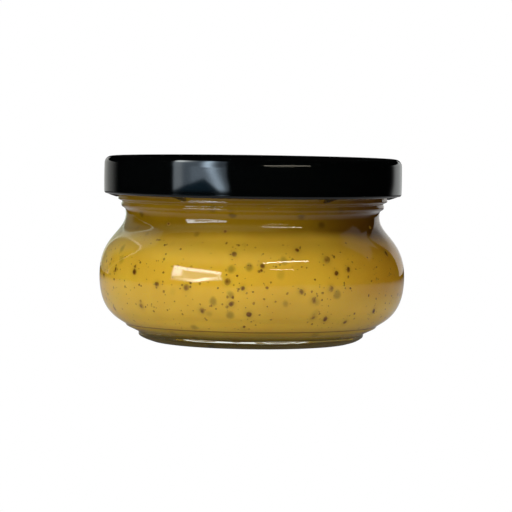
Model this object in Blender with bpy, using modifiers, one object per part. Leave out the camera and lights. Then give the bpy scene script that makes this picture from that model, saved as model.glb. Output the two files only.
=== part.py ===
"""A shut glass jar of honey and mustard dressing under a black twist-off lid.

Everything is in metres with +Z up. The origin is the middle of the jar's foot ring, on the
surface that the jar stands on. There are three pieces, all turned about the Z axis:
the clear glass jar, the tinplate lid with its six lugs, and the dressing that fills the jar.
"""

import math
import random

import bmesh
import bpy
from mathutils import Matrix

MM = 0.001
SIDES = 60

# The jar's outer form, from the surface it stands on up to its rim.
STANDING_INNER = 25.6 * MM
STANDING_OUTER = 28.3 * MM
FOOT_RADIUS = 32.75 * MM
FOOT_HEIGHT = 3.0 * MM
HEEL_RADIUS = 36.0 * MM
HEEL_HEIGHT = 5.0 * MM
BODY_RADIUS = 43.4 * MM
BODY_HEIGHT = 18.5 * MM
NECK_RADIUS = 36.05 * MM
NECK_HEIGHT = 36.0 * MM
BEAD_RADIUS = 37.3 * MM
BEAD_LOW = 37.7 * MM
BEAD_HIGH = 39.0 * MM
FINISH_RADIUS = 38.4 * MM
FINISH_LOW = 40.2 * MM
RIM_HEIGHT = 51.5 * MM
RIM_ROUNDING = 1.0 * MM

# The glass is about this thick at the side, and thicker at the base.
WALL = 2.6 * MM
FLOOR_HEIGHT = 5.0 * MM
FLOOR_RISE = 0.8 * MM
FLOOR_RADIUS = 30.0 * MM
PUSH_UP_RADIUS = 23.0 * MM
PUSH_UP_HEIGHT = 1.3 * MM

# Six short threads run down the finish, one for each lug of the lid.
THREADS = 6
THREAD_WIRE = 1.3 * MM
THREAD_PROUD = 0.9 * MM
THREAD_TOP = 47.0 * MM
THREAD_DROP = 2.6 * MM
THREAD_SPAN = math.radians(44.0)
THREAD_POINTS = 7

# The lid. Sheet metal is drawn thicker than the real quarter of a millimetre.
LID_RADIUS = 42.3 * MM
LID_TOP = 52.3 * MM
LID_BOTTOM = 41.8 * MM
LID_WALL = 0.5 * MM
LID_SHOULDER = 2.0 * MM
CURL_RADIUS = 0.55 * MM
PANEL_RADIUS = 33.5 * MM
PANEL_DROP = 0.7 * MM
BUTTON_RADIUS = 11.0 * MM
BUTTON_RISE = 0.35 * MM
LUGS = 6
FIRST_LUG = math.radians(31.0)
LUG_WIDTH = 2.8 * MM
LUG_INNER = 38.8 * MM
LUG_BOTTOM = 40.5 * MM
LUG_HEIGHT = 2.8 * MM

# The dressing stays clear of the glass by this gap, in which its seeds stand proud.
FILL_GAP = 0.7 * MM
FILL_TOP = 45.5 * MM
SEED_PROUD = 0.35 * MM
SEED_COUNT = 44
SEED_SPACING = 4.2 * MM
SEED_SMALL = 1.4 * MM
SEED_LARGE = 2.0 * MM
SEED_LOWEST = 8.0 * MM
SEED_HIGHEST = 34.0 * MM

# The plainest seeds of the front: degrees to the right of the front, height, diameter.
FRONT_SEEDS = (
    (30.0, 25.0 * MM, 2.4 * MM),
    (31.0, 17.6 * MM, 1.9 * MM),
    (24.0, 14.6 * MM, 1.9 * MM),
    (25.0, 10.2 * MM, 1.7 * MM),
    (33.5, 21.6 * MM, 1.7 * MM),
    (-50.0, 20.8 * MM, 1.8 * MM),
    (-38.0, 18.0 * MM, 1.7 * MM),
    (-25.0, 17.5 * MM, 2.0 * MM),
    (-9.0, 19.4 * MM, 1.9 * MM),
    (-7.0, 26.4 * MM, 1.8 * MM),
    (4.0, 23.6 * MM, 1.5 * MM),
    (-12.0, 32.3 * MM, 1.5 * MM),
)


def curve(start, leave, arrive, end, steps):
    """Points of a cubic Bezier curve from start to end, without its start."""
    points = []
    for step in range(1, steps + 1):
        t = step / steps
        weights = ((1 - t) ** 3, 3 * t * (1 - t) ** 2, 3 * t * t * (1 - t), t ** 3)
        corners = (start, leave, arrive, end)
        radius = sum(w * c[0] for w, c in zip(weights, corners))
        height = sum(w * c[1] for w, c in zip(weights, corners))
        points.append((radius, height))
    return points


def arc(centre, radius, first, last, steps):
    """Points on a circle round centre, from the angle first to last in degrees, both included."""
    points = []
    for step in range(steps + 1):
        angle = math.radians(first + (last - first) * step / steps)
        points.append((centre[0] + radius * math.cos(angle), centre[1] + radius * math.sin(angle)))
    return points


def inset(points, distance):
    """Moves a line that runs upwards towards the axis by distance, square to itself."""
    moved = []
    for index, (radius, height) in enumerate(points):
        before = points[max(index - 1, 0)]
        after = points[min(index + 1, len(points) - 1)]
        along_radius = after[0] - before[0]
        along_height = after[1] - before[1]
        length = math.hypot(along_radius, along_height)
        moved.append((radius - distance * along_height / length, height + distance * along_radius / length))
    return moved


def outer_side():
    """The jar's bulging side from the heel up to the neck."""
    heel = (HEEL_RADIUS, HEEL_HEIGHT)
    widest = (BODY_RADIUS, BODY_HEIGHT)
    neck = (NECK_RADIUS, NECK_HEIGHT)
    low = curve(heel, (38.5 * MM, 6.6 * MM), (BODY_RADIUS, 8.6 * MM), widest, 5)
    high = curve(widest, (BODY_RADIUS, 29.8 * MM), (NECK_RADIUS, 30.5 * MM), neck, 6)
    return [heel] + low + high


def inner_side():
    """The inside of the wall from the edge of the floor up to the foot of the rim."""
    wall = inset(outer_side(), WALL)[2:]
    floor_edge = (FLOOR_RADIUS, FLOOR_HEIGHT)
    corner = curve(floor_edge, (33.5 * MM, 4.9 * MM), (36.0 * MM, 6.6 * MM), wall[0], 3)
    mouth = [(34.5 * MM, BEAD_HIGH), (FINISH_RADIUS - WALL, FINISH_LOW + WALL)]
    return [floor_edge] + corner + wall[1:] + mouth


def jar_profile():
    """The whole jar: up the inside from the floor, over the rim, down the outside to the base."""
    inside = [(0.0, FLOOR_HEIGHT + FLOOR_RISE)] + inner_side()
    inner_corner = (FINISH_RADIUS - WALL + RIM_ROUNDING, RIM_HEIGHT - RIM_ROUNDING)
    outer_corner = (FINISH_RADIUS - RIM_ROUNDING, RIM_HEIGHT - RIM_ROUNDING)
    rim = arc(inner_corner, RIM_ROUNDING, 180, 90, 2) + arc(outer_corner, RIM_ROUNDING, 90, 0, 2)
    finish = [(FINISH_RADIUS, FINISH_LOW), (BEAD_RADIUS, BEAD_HIGH), (BEAD_RADIUS, BEAD_LOW)]
    side = list(reversed(outer_side()))
    heel = [(35.6 * MM, 4.35 * MM), (FOOT_RADIUS, FOOT_HEIGHT)]
    foot = [(32.1 * MM, 2.75 * MM), (31.95 * MM, 1.6 * MM), (31.2 * MM, 1.1 * MM), (30.2 * MM, 0.6 * MM)]
    base = [(STANDING_OUTER, 0.0), (STANDING_INNER, 0.0), (24.6 * MM, 0.6 * MM)]
    push_up = [(PUSH_UP_RADIUS, PUSH_UP_HEIGHT * 0.85), (0.0, PUSH_UP_HEIGHT)]
    return inside + rim + finish + side + heel + foot + base + push_up


def lid_profile():
    """The lid: out over the top, round the shoulder, down the skirt, round the curl and back."""
    top = [
        (0.0, LID_TOP - PANEL_DROP + BUTTON_RISE),
        (BUTTON_RADIUS, LID_TOP - PANEL_DROP + BUTTON_RISE),
        (BUTTON_RADIUS + 2.0 * MM, LID_TOP - PANEL_DROP),
        (PANEL_RADIUS, LID_TOP - PANEL_DROP),
        (PANEL_RADIUS + 1.2 * MM, LID_TOP),
    ]
    shoulder_centre = (LID_RADIUS - LID_SHOULDER, LID_TOP - LID_SHOULDER)
    shoulder = arc(shoulder_centre, LID_SHOULDER, 90, 0, 3)
    curl = arc((LID_RADIUS - CURL_RADIUS, LID_BOTTOM + CURL_RADIUS), CURL_RADIUS, 0, -180, 4)
    inner_radius = LID_RADIUS - LID_WALL
    curl_top = (inner_radius, LID_BOTTOM + 3 * CURL_RADIUS)
    inner_shoulder = arc(shoulder_centre, LID_SHOULDER - LID_WALL, 0, 90, 2)
    under = [(radius, height - LID_WALL) for radius, height in reversed(top)]
    return top + shoulder + curl + [curl_top] + inner_shoulder + under


def fill_side():
    """The dressing's side from its floor edge up to its surface."""
    wall = inset(inner_side(), FILL_GAP)[:-1]
    return wall + [(FINISH_RADIUS - WALL - FILL_GAP, FILL_TOP - 1.0 * MM)]


def fill_profile():
    """The dressing: out over its surface, down its side and in over its floor."""
    surface = [(0.0, FILL_TOP), (FINISH_RADIUS - WALL - FILL_GAP - 1.2 * MM, FILL_TOP)]
    floor = [(0.0, FLOOR_HEIGHT + FLOOR_RISE + FILL_GAP)]
    return surface + list(reversed(fill_side())) + floor


def side_at(line, height):
    """The radius of an upward line at a height, and how far it leans outwards there, in radians."""
    for (radius_low, low), (radius_high, high) in zip(line, line[1:]):
        if low <= height <= high:
            share = (height - low) / (high - low)
            lean = math.atan2(radius_high - radius_low, high - low)
            return radius_low + share * (radius_high - radius_low), lean
    raise ValueError("no side at this height")


def material(name, colour, roughness, metallic=0.0, transmission=0.0):
    """A plain Principled material."""
    made = bpy.data.materials.new(name)
    made.use_nodes = True
    shader = made.node_tree.nodes["Principled BSDF"]
    shader.inputs["Base Color"].default_value = (*colour, 1.0)
    shader.inputs["Roughness"].default_value = roughness
    shader.inputs["Metallic"].default_value = metallic
    shader.inputs["Transmission Weight"].default_value = transmission
    return made


def add_object(name, mesh, collection):
    """Puts a mesh into the scene as an object of that name."""
    made = bpy.data.objects.new(name, mesh)
    collection.objects.link(made)
    return made


def turned(name, profile, collection, finish):
    """An object turned about Z from a profile that runs down its outer side."""
    mesh = bpy.data.meshes.new(name)
    points = [(radius, 0.0, height) for radius, height in profile]
    edges = [(index, index + 1) for index in range(len(points) - 1)]
    mesh.from_pydata(points, edges, [])
    mesh.materials.append(finish)
    made = add_object(name, mesh, collection)
    screw = made.modifiers.new("Turn", "SCREW")
    screw.axis = "Z"
    screw.steps = SIDES
    screw.render_steps = SIDES
    screw.use_merge_vertices = True
    screw.merge_threshold = 0.01 * MM
    return made


def fuse(body, pieces):
    """Joins the objects of a collection to body for good, and removes them."""
    union = body.modifiers.new("Fuse", "BOOLEAN")
    union.operation = "UNION"
    union.solver = "EXACT"
    union.operand_type = "COLLECTION"
    union.collection = pieces
    bpy.context.view_layer.update()
    evaluated = body.evaluated_get(bpy.context.evaluated_depsgraph_get())
    joined = bpy.data.meshes.new_from_object(evaluated)
    body.modifiers.clear()
    body.data = joined
    for piece in list(pieces.objects):
        bpy.data.objects.remove(piece)


def smooth(made):
    """Shades a turned piece smooth and keeps its real edges sharp."""
    mesh = made.data
    mesh.shade_smooth()
    mesh.set_sharp_from_angle(angle=math.radians(35.0))


def thread(index, pieces):
    """One thread of the finish: a bead of glass that drops a little as it goes round."""
    line = bpy.data.curves.new("thread", "CURVE")
    line.dimensions = "3D"
    line.bevel_depth = THREAD_WIRE
    line.bevel_resolution = 1
    line.use_fill_caps = True
    spline = line.splines.new("POLY")
    spline.points.add(THREAD_POINTS - 1)
    middle = FIRST_LUG + index * 2 * math.pi / THREADS
    radius = FINISH_RADIUS + THREAD_PROUD - THREAD_WIRE
    for step, point in enumerate(spline.points):
        share = step / (THREAD_POINTS - 1)
        angle = middle + THREAD_SPAN * (share - 0.5)
        height = THREAD_TOP - THREAD_DROP * share
        point.co = (radius * math.sin(angle), -radius * math.cos(angle), height, 1.0)
        point.radius = min(1.0, 0.75 + 3.0 * min(share, 1.0 - share))
    drawn = add_object("thread_line", line, pieces)
    bpy.context.view_layer.update()
    mesh = bpy.data.meshes.new_from_object(drawn.evaluated_get(bpy.context.evaluated_depsgraph_get()))
    bpy.data.objects.remove(drawn)
    shape = bmesh.new()
    shape.from_mesh(mesh)
    bmesh.ops.remove_doubles(shape, verts=shape.verts, dist=0.01 * MM)
    shape.to_mesh(mesh)
    shape.free()
    add_object(f"thread_{index}", mesh, pieces)


def lug(index, pieces):
    """One lug of the lid: a rounded tongue of the curl that dips and reaches in under a thread."""
    angle = FIRST_LUG + index * 2 * math.pi / LUGS
    depth = LID_RADIUS - LID_WALL / 2 - LUG_INNER
    centre = (LUG_INNER + depth / 2, 0.0, LUG_BOTTOM + LUG_HEIGHT / 2)
    shape = bmesh.new()
    bmesh.ops.create_uvsphere(shape, u_segments=8, v_segments=5, radius=0.5)
    size = Matrix.Diagonal((depth, LUG_WIDTH, LUG_HEIGHT, 1.0))
    turn = Matrix.Rotation(angle - math.pi / 2, 4, "Z") @ Matrix.Translation(centre)
    bmesh.ops.transform(shape, matrix=turn @ size, verts=shape.verts)
    mesh = bpy.data.meshes.new("lug")
    shape.to_mesh(mesh)
    shape.free()
    add_object(f"lug_{index}", mesh, pieces)


def seed_places():
    """The seeds' places: the plain ones of the front, then others drawn clear of them all round."""
    draw = random.Random(21)
    places = [(math.radians(angle), height, size) for angle, height, size in FRONT_SEEDS]
    wanted = SEED_COUNT + len(places)
    while len(places) < wanted:
        angle = draw.uniform(-math.pi, math.pi)
        height = draw.uniform(SEED_LOWEST, SEED_HIGHEST)
        size = draw.uniform(SEED_SMALL, SEED_LARGE)
        clear = True
        for other_angle, other_height, _ in places:
            turn = (angle - other_angle + math.pi) % (2 * math.pi) - math.pi
            if math.hypot(turn * BODY_RADIUS, height - other_height) < SEED_SPACING:
                clear = False
        if clear:
            places.append((angle, height, size))
    return places


def seed(index, place, pieces):
    """One mustard seed, a small ball that stands a little proud of the dressing's side."""
    angle, height, size = place
    radius, lean = side_at(fill_side(), height)
    depth = size / 2 - SEED_PROUD
    outward = (math.cos(lean), -math.sin(lean))
    centre = (radius - depth * outward[0], height - depth * outward[1])
    shape = bmesh.new()
    bmesh.ops.create_uvsphere(shape, u_segments=6, v_segments=4, radius=size / 2)
    turn = Matrix.Rotation(angle - math.pi / 2, 4, "Z") @ Matrix.Translation((centre[0], 0.0, centre[1]))
    lay = turn @ Matrix.Rotation(math.pi / 2 + lean, 4, "Y")
    bmesh.ops.transform(shape, matrix=lay, verts=shape.verts)
    mesh = bpy.data.meshes.new("seed")
    shape.to_mesh(mesh)
    shape.free()
    add_object(f"seed_{index}", mesh, pieces)


def make_jar(model, pieces):
    """The clear glass jar with the threads of its finish."""
    glass = material("clear_glass", (0.93, 0.96, 0.94), 0.02, transmission=1.0)
    made = turned("jar", jar_profile(), model, glass)
    for index in range(THREADS):
        thread(index, pieces)
    fuse(made, pieces)
    smooth(made)


def make_lid(model, pieces):
    """The tinplate lid, enamelled black, with its lugs."""
    enamel = material("black_enamel", (0.006, 0.007, 0.007), 0.12)
    made = turned("lid", lid_profile(), model, enamel)
    for index in range(LUGS):
        lug(index, pieces)
    fuse(made, pieces)
    smooth(made)


def make_dressing(model, pieces):
    """The dressing up to its level in the jar, with the largest mustard seeds on its side."""
    sauce = material("honey_mustard", (0.56, 0.34, 0.05), 0.4)
    made = turned("dressing", fill_profile(), model, sauce)
    for index, place in enumerate(seed_places()):
        seed(index, place, pieces)
    fuse(made, pieces)
    smooth(made)


def main():
    for old in list(bpy.data.objects):
        bpy.data.objects.remove(old)
    model = bpy.data.collections.new("dressing_jar")
    pieces = bpy.data.collections.new("pieces_to_fuse")
    bpy.context.scene.collection.children.link(model)
    bpy.context.scene.collection.children.link(pieces)
    make_jar(model, pieces)
    make_lid(model, pieces)
    make_dressing(model, pieces)
    bpy.data.collections.remove(pieces)


main()
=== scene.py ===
# %% [markdown]
# A jar of honey and mustard dressing
#
# The real thing is a squat jar of clear pressed glass, filled with a thick yellow dressing with mustard
# seeds in it, and shut by a black enamelled twist-off lid. Everything round is turned from a profile, and
# what makes it look real is the glass: its gloss, its small waves, and the sauce that sits tight behind it.

# %% Load the frame
import math
import random

import bpy
import numpy as np
from mathutils import Matrix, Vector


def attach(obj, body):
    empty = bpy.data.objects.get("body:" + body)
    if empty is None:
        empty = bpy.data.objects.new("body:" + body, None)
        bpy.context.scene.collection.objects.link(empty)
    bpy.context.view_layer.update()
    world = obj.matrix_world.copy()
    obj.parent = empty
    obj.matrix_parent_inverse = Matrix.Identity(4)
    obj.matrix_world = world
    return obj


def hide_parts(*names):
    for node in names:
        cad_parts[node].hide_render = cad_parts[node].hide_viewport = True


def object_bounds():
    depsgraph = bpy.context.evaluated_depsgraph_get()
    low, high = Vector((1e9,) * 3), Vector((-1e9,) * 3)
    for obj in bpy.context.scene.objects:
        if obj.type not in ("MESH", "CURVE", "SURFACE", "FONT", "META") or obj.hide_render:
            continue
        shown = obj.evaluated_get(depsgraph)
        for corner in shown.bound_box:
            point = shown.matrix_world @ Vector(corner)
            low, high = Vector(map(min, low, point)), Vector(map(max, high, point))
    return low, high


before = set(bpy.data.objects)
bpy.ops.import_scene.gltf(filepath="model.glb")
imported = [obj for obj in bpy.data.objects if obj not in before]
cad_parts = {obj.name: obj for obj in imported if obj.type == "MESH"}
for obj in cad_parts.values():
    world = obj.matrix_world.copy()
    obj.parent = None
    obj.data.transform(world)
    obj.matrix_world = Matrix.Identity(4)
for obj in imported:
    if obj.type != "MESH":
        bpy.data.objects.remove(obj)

MM = 0.001
cad_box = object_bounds()
box_in_mm = [[round(value / MM, 1) for value in corner] for corner in cad_box]
print("solids:", sorted(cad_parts), "box in mm:", box_in_mm)

# %% [markdown]
# The sizes
#
# They are the same named sizes that the solids were made from, in metres, so each visible piece fits over
# its solid. The height of the base is zero, and the front of the jar looks along -Y.

# %% Sizes of the glass
STANDING_INNER = 25.6 * MM
STANDING_OUTER = 28.3 * MM
FOOT_RADIUS = 32.75 * MM
FOOT_HEIGHT = 3.0 * MM
HEEL = (36.0 * MM, 5.0 * MM)
WIDEST = (43.4 * MM, 18.5 * MM)
NECK = (36.05 * MM, 36.0 * MM)
BEAD_RADIUS = 37.3 * MM
BEAD_LOW = 37.7 * MM
BEAD_HIGH = 39.0 * MM
FINISH_RADIUS = 38.4 * MM
FINISH_LOW = 40.2 * MM
RIM_HEIGHT = 51.5 * MM
RIM_ROUNDING = 1.0 * MM
WALL = 2.6 * MM
FLOOR_EDGE = (30.0 * MM, 5.0 * MM)
FLOOR_RISE = 0.8 * MM
FLOOR_BEND = (20.0 * MM, FLOOR_RISE * 0.6)
PUSH_UP_RADIUS = 23.0 * MM
PUSH_UP_HEIGHT = 1.3 * MM

# %% Sizes of the lid and the dressing
LID_RADIUS = 42.3 * MM
LID_TOP = 52.3 * MM
LID_BOTTOM = 41.8 * MM
LID_WALL = 0.5 * MM
LID_SHOULDER = 2.0 * MM
CURL_RADIUS = 0.55 * MM
PANEL_RADIUS = 33.5 * MM
PANEL_DROP = 0.7 * MM
BUTTON_RADIUS = 11.0 * MM
BUTTON_RISE = 0.35 * MM
LUGS = 6
FIRST_LUG = math.radians(31.0)
FILL_TOP = 45.5 * MM
INTO_WALL = 0.3 * MM

# %% [markdown]
# Lines and how they are turned
#
# A profile is an array of (radius, height) points. Smooth stretches are Bezier curves, and corners are
# rounded by a small arc, because even pressed glass and folded sheet metal have no knife edges.
# A turned piece is then one grid: the profile one way, the angle round the axis the other way.

# %% Profile helpers
def curve(start, leave, arrive, end, steps):
    """Points of a cubic Bezier curve: each corner weighted by the Bernstein terms of t from 0 to 1."""
    t = np.linspace(0.0, 1.0, steps + 1)[:, None]
    corners = [np.array(corner) for corner in (start, leave, arrive, end)]
    weights = [(1 - t) ** 3, 3 * t * (1 - t) ** 2, 3 * t * t * (1 - t), t ** 3]
    return sum(weight * corner for weight, corner in zip(weights, corners))


def rounded(corners, radius, steps=5):
    """A line through corners, each inner corner cut back by radius along both sides and bridged by a
    quadratic arc, (1-t)^2 before + 2t(1-t) corner + t^2 after."""
    corners = np.array(corners, float)
    t = np.linspace(0.0, 1.0, steps + 1)[:, None]
    pieces = [corners[:1]]
    for before, corner, after in zip(corners, corners[1:], corners[2:]):
        back, on = before - corner, after - corner
        back_length, on_length = np.linalg.norm(back), np.linalg.norm(on)
        cut = min(radius, back_length / 2.05, on_length / 2.05)
        first, last = corner + back / back_length * cut, corner + on / on_length * cut
        pieces.append((1 - t) ** 2 * first + 2 * t * (1 - t) * corner + t ** 2 * last)
    pieces.append(corners[-1:])
    return np.concatenate(pieces)


def inset(line, distance):
    """Each point of an upward line moved towards the axis by distance, square to the line."""
    along = np.gradient(line, axis=0)
    along /= np.linalg.norm(along, axis=1, keepdims=True)
    return line + distance * np.stack([-along[:, 1], along[:, 0]], axis=1)


def resampled(line, spacing, fine=()):
    """The same line with points at steps of about spacing, read off along its length. Each entry of fine is
    a box, from one (radius, height) to another, and the closer spacing that holds inside it."""
    steps = np.linalg.norm(np.diff(line, axis=0), axis=1)
    line, steps = line[np.concatenate([[True], steps > 1e-6])], steps[steps > 1e-6]
    travelled = np.concatenate([[0.0], np.cumsum(steps)])
    dense = np.linspace(0.0, travelled[-1], 20 * len(line))
    line = np.stack([np.interp(dense, travelled, line[:, axis]) for axis in (0, 1)], axis=1)
    gap = np.full(len(line) - 1, spacing)
    for low, high, closer in fine:
        gap[((line[1:] > low) & (line[1:] < high)).all(axis=1)] = closer
    counted = np.concatenate([[0.0], np.cumsum(np.linalg.norm(np.diff(line, axis=0), axis=1) / gap)])
    places = np.linspace(0.0, counted[-1], max(2, int(round(counted[-1])) + 1))
    return np.stack([np.interp(places, counted, line[:, axis]) for axis in (0, 1)], axis=1)

# %% Turning a profile into a mesh
def mesh_object(name, points, faces):
    """A smooth mesh object at the origin, from arrays of points and faces."""
    mesh = bpy.data.meshes.new(name)
    mesh.from_pydata(points.tolist(), [], faces.tolist() if hasattr(faces, "tolist") else faces)
    mesh.shade_smooth()
    made = bpy.data.objects.new(name, mesh)
    bpy.context.scene.collection.objects.link(made)
    return made


def turned(name, line, around, relief=None):
    """A surface of revolution: x = r sin a, y = -r cos a, z = height, for each profile point and angle a.
    relief(radius, height, angle) gives new radii and heights. Ends on the axis close to one point."""
    line = np.array(line)
    angle = np.linspace(0.0, 2 * math.pi, around, endpoint=False)
    inner = line[1:-1]
    radius = np.repeat(inner[:, :1], around, axis=1)
    height = np.repeat(inner[:, 1:], around, axis=1)
    spread = np.repeat(angle[None, :], len(inner), axis=0)
    if relief is not None:
        radius, height = relief(radius, height, spread)
    grid = np.stack([radius * np.sin(spread), -radius * np.cos(spread), height], axis=2).reshape(-1, 3)
    poles = np.array([[0.0, 0.0, line[0, 1]], [0.0, 0.0, line[-1, 1]]])
    rows, columns = len(inner), around
    index = np.arange(rows * columns).reshape(rows, columns)
    after = np.roll(index, -1, axis=1)
    quads = np.stack([index[:-1], index[1:], after[1:], after[:-1]], axis=2).reshape(-1, 4)
    first_pole, last_pole = rows * columns, rows * columns + 1
    fan_first = np.stack([np.full(columns, first_pole), index[0], after[0]], axis=1)
    fan_last = np.stack([after[-1], index[-1], np.full(columns, last_pole)], axis=1)
    faces = quads.tolist() + fan_first.tolist() + fan_last.tolist()
    made = mesh_object(name, np.concatenate([grid, poles]), faces)
    print(name, "points", len(grid) + 2, "triangles", 2 * len(quads) + 2 * columns)
    return made

# %% [markdown]
# Materials
#
# A colour is chosen as people see it on a screen, as a hex number, and Blender needs it linear. One helper
# adds a node, sets its own settings and fills its sockets, either with a value or with a link. The others
# wrap the kinds of node that come up again and again, and give back the output that is used next.

# %% Material helpers
def linear(hex_colour):
    """sRGB hex to linear RGBA: c / 12.92 below 0.04045, otherwise ((c + 0.055) / 1.055) ^ 2.4."""
    values = [int(hex_colour[i:i + 2], 16) / 255 for i in (1, 3, 5)]
    return tuple(c / 12.92 if c <= 0.04045 else ((c + 0.055) / 1.055) ** 2.4 for c in values) + (1.0,)


def add(tree, kind, settings=None, sockets=None):
    """Adds a node of a kind. sockets maps an input's name or number to a value or to an output to link."""
    made = tree.nodes.new(kind)
    for key, value in (settings or {}).items():
        setattr(made, key, value)
    for key, value in (sockets or {}).items():
        if isinstance(value, bpy.types.NodeSocket):
            tree.links.new(value, made.inputs[key])
        else:
            made.inputs[key].default_value = value
    return made


def new_material(name):
    """An empty node material and its output node."""
    made = bpy.data.materials.new(name)
    made.use_nodes = True
    made.node_tree.nodes.clear()
    return made, made.node_tree, made.node_tree.nodes.new("ShaderNodeOutputMaterial")


def calculated(tree, operation, *values):
    """The result of a math node."""
    return add(tree, "ShaderNodeMath", {"operation": operation}, dict(enumerate(values))).outputs[0]


def ramp(tree, value, edges, levels=(0.0, 1.0), kind="SMOOTHSTEP"):
    """A value between two edges brought to one between two levels, and held at the levels outside."""
    return add(tree, "ShaderNodeMapRange", {"interpolation_type": kind}, {
        "Value": value,
        "From Min": edges[0],
        "From Max": edges[1],
        "To Min": levels[0],
        "To Max": levels[1],
    }).outputs[0]


def blended(tree, share, first, second, blend_type="MIX"):
    """The first colour, with the second mixed in or multiplied on by its share."""
    settings = {"data_type": "RGBA", "blend_type": blend_type}
    return add(tree, "ShaderNodeMix", settings, {0: share, 6: first, 7: second}).outputs[2]


def noise(tree, vector, scale, detail=2.0):
    """A noise texture at a place, with its Fac and its Color as outputs."""
    sockets = {"Vector": vector, "Scale": scale, "Detail": detail}
    return add(tree, "ShaderNodeTexNoise", sockets=sockets).outputs

# %% [markdown]
# The glass
#
# Soda-lime glass pressed and blown in an iron mould. It is clear with a breath of green, fire-polished to
# a hard gloss, and never quite true: slow waves a few hundredths of a millimetre high bend every
# reflection. The mould leaves a fine seam at two sides. Light has to reach the dressing, and real glass
# lets it through with little loss, so shadow rays and soft light pass straight through the wall.

# %% Glass profile
EVEN_WALL_START = 8.9 * MM


def outer_side():
    """The outside from the heel up to the neck, two curves that meet at the widest place."""
    low = curve(HEEL, (38.5 * MM, 6.6 * MM), (WIDEST[0], 8.6 * MM), WIDEST, 40)
    high = curve(WIDEST, (WIDEST[0], 29.8 * MM), (NECK[0], 30.5 * MM), NECK, 40)
    return np.concatenate([low, high[1:]])


def inner_side():
    """The inside from the floor's edge up to the foot of the rim. The even wall starts above the heel."""
    wall = inset(outer_side(), WALL)
    wall = wall[wall[:, 1] > EVEN_WALL_START]
    corner = curve(FLOOR_EDGE, (33.5 * MM, 4.9 * MM), (36.0 * MM, 6.6 * MM), tuple(wall[0]), 12)
    mouth = [(34.5 * MM, BEAD_HIGH), (FINISH_RADIUS - WALL, FINISH_LOW + WALL)]
    return np.concatenate([corner, wall[1:], mouth])


def glass_line():
    """The whole wall: up the inside from the floor, over the rim, down the outside, in under the base."""
    inside = [(0.0, FLOOR_EDGE[1] + FLOOR_RISE), (FLOOR_BEND[0], FLOOR_EDGE[1] + FLOOR_BEND[1])]
    rim = rounded([
        (FINISH_RADIUS - WALL, FINISH_LOW + WALL),
        (FINISH_RADIUS - WALL, RIM_HEIGHT),
        (FINISH_RADIUS, RIM_HEIGHT),
        (FINISH_RADIUS, FINISH_LOW + 2.0 * MM),
    ], RIM_ROUNDING)
    bead = rounded([
        (FINISH_RADIUS, FINISH_LOW + 2.0 * MM),
        (FINISH_RADIUS - 0.15 * MM, FINISH_LOW + 0.7 * MM),
        (FINISH_RADIUS, FINISH_LOW),
        (BEAD_RADIUS - 0.35 * MM, BEAD_HIGH + 0.55 * MM),
        (BEAD_RADIUS + 0.15 * MM, BEAD_HIGH),
        (BEAD_RADIUS + 0.05 * MM, BEAD_LOW + 0.5 * MM),
        (NECK[0] + 0.1 * MM, BEAD_LOW - 0.3 * MM),
        NECK,
    ], 0.35 * MM)
    foot = rounded([
        HEEL,
        (35.6 * MM, 4.35 * MM),
        (FOOT_RADIUS, FOOT_HEIGHT),
        (32.1 * MM, 2.75 * MM),
        (31.95 * MM, 1.6 * MM),
        (31.2 * MM, 1.1 * MM),
        (30.2 * MM, 0.6 * MM),
        (STANDING_OUTER, 0.0),
        (STANDING_INNER, 0.0),
        (24.6 * MM, 0.6 * MM),
        (PUSH_UP_RADIUS, PUSH_UP_HEIGHT * 0.85),
        (0.0, PUSH_UP_HEIGHT),
    ], 0.3 * MM)
    side = outer_side()[::-1]
    return np.concatenate([inside, inner_side()[:-1], rim[:-1], bead[:-1], side[:-1], foot])


GLASS_SPACING = 1.1 * MM
GLASS_FINE_SPACING = 0.32 * MM
GLASS_AROUND = 456
NECK_BOX = ((35.5 * MM, 35.5 * MM), (39.0 * MM, 42.0 * MM))
FOOT_BOX = ((28.0 * MM, -1.0 * MM), (36.3 * MM, 5.2 * MM))
glass_points = resampled(glass_line(), GLASS_SPACING, fine=[
    (*NECK_BOX, GLASS_FINE_SPACING),
    (*FOOT_BOX, GLASS_FINE_SPACING),
])
print("glass profile points:", len(glass_points))

# %% Glass relief
THREAD_TOP = 47.0 * MM
THREAD_DROP = 2.6 * MM
THREAD_SPAN = math.radians(44.0)
THREAD_PROUD = 0.9 * MM
THREAD_HALF_HEIGHT = 1.2 * MM
THREAD_RUN_OUT = 1 / 6
SEAM_ANGLE = math.radians(-40.6)
SEAM_PROUD = 0.04 * MM
SEAM_HALF_WIDTH = 0.3 * MM
# Waves: how many, how tall in all, the shortest and the longest.
SLOW_WAVES = (14, 0.022 * MM, 16.0 * MM, 34.0 * MM)
QUICK_WAVES = (16, 0.005 * MM, 4.5 * MM, 8.0 * MM)
FOOT_WAVES = (9, 0.05 * MM, 14.0 * MM, 70.0 * MM)
FOOT_CLIMB = (3.0 * MM, 6.0 * MM)
FOOT_FADE_LOW = 0.5 * MM
FOOT_FADE_HIGH = 0.3 * MM


def wrapped(angle):
    """An angle brought to between -pi and pi."""
    return (angle + math.pi) % (2 * math.pi) - math.pi


def waves(height, angle):
    """The waves of the glass, slow and quick: sums of sines round the jar and up it, with seeded phases."""
    draw = np.random.default_rng(5)
    total = np.zeros_like(height)
    for count, tall, shortest, longest in (SLOW_WAVES, QUICK_WAVES):
        for _ in range(count):
            length = draw.uniform(shortest, longest)
            turns = draw.integers(1, int(2 * math.pi * WIDEST[0] / length))
            rise = math.sqrt(max(0.0, (2 * math.pi / length) ** 2 - (turns / WIDEST[0]) ** 2))
            phase = draw.uniform(0, 2 * math.pi) + rise * height * draw.choice([-1, 1])
            total += np.sin(turns * angle + phase) * tall / math.sqrt(count / 2)
    return total


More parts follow.
